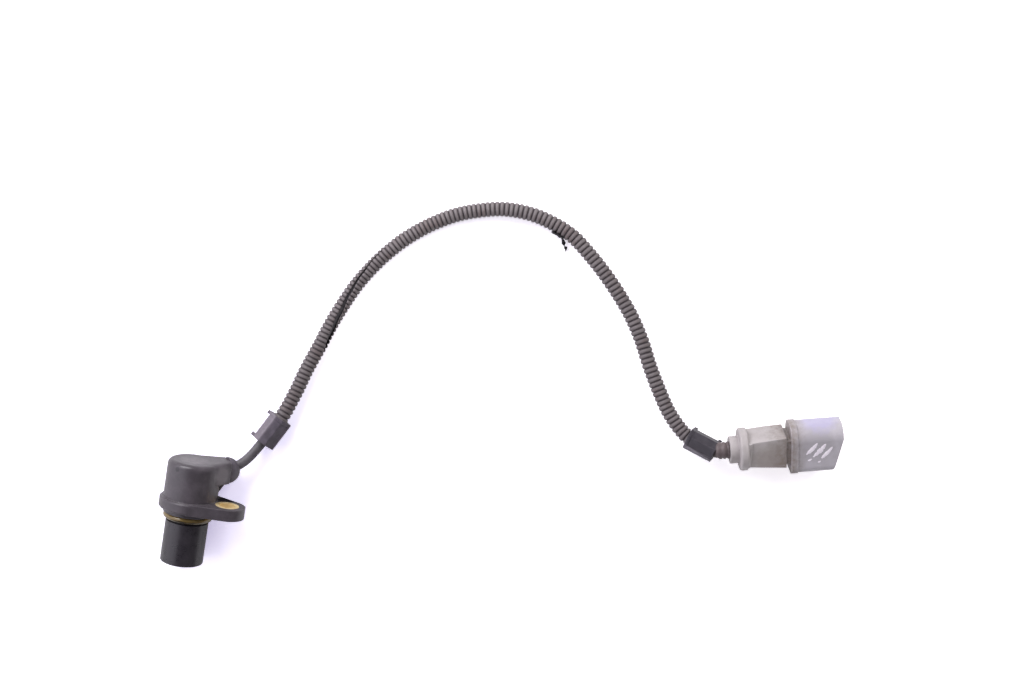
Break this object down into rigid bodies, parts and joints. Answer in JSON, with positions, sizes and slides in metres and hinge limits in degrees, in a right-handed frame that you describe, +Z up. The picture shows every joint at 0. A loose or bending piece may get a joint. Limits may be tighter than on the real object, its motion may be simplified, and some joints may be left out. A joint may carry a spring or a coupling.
{
  "type": "crankshaft position sensor",
  "caption": "Inductive crankshaft position sensor with a round probe, O-ring, bolt lug and brass bush, on a flying lead in corrugated conduit with a grey blade connector.",
  "frame": {"origin": "bottom centre of the sensor's box, on the table that the part lies on", "axes": "+Z up from the table, +Y along the sensor from its tip towards its head, +X towards the connector"},
  "size_m": [0.2882, 0.1548, 0.0266],
  "materials": {
    "housing": "moulded glass-filled polyamide, dull dark grey",
    "probe": "smooth moulded polyamide, near black",
    "o_ring": "oily nitrile rubber",
    "bush": "turned brass",
    "iron": "turned soft iron",
    "magnet": "sintered magnet",
    "bobbin": "natural moulded plastic",
    "copper": "enamelled copper wire",
    "carrier": "black moulded plastic",
    "tin": "tinned bronze",
    "core_red": "red core insulation",
    "core_blue": "blue core insulation",
    "core_white": "white core insulation",
    "grommet": "dark moulded rubber",
    "sheath": "grey-black cable sheath",
    "conduit": "aged grey-brown corrugated plastic",
    "clip": "charcoal moulded plastic",
    "seal": "brown-grey rubber",
    "body": "light warm grey moulded plastic",
    "shroud": "light cool grey moulded plastic",
    "lock": "white moulded plastic"
  },
  "bodies": {
    "root": {"sensor_housing": "housing", "probe_sleeve": "probe", "o_ring": "o_ring", "flange_bush": "bush", "pole_pin": "iron", "coil_bobbin": "bobbin", "coil_winding": "copper", "bias_magnet": "magnet", "terminal_carrier": "carrier", "sensor_strip_1": "tin", "sensor_strip_2": "tin", "sensor_strip_3": "tin", "sensor_core_1": "core_red", "sensor_core_2": "core_blue", "sensor_core_3": "core_white", "cable_grommet": "grommet", "cable": "sheath", "conduit": "conduit", "clip_a_upper": "clip", "clip_a_lower": "clip", "clip_b_upper": "clip", "clip_b_lower": "clip", "cable_seal": "seal", "connector_body": "body", "connector_shroud": "shroud", "terminal_lock": "lock", "connector_core_1": "core_red", "connector_core_2": "core_blue", "connector_core_3": "core_white", "blade_1": "tin", "blade_2": "tin", "blade_3": "tin"}
  },
  "joints": []
}
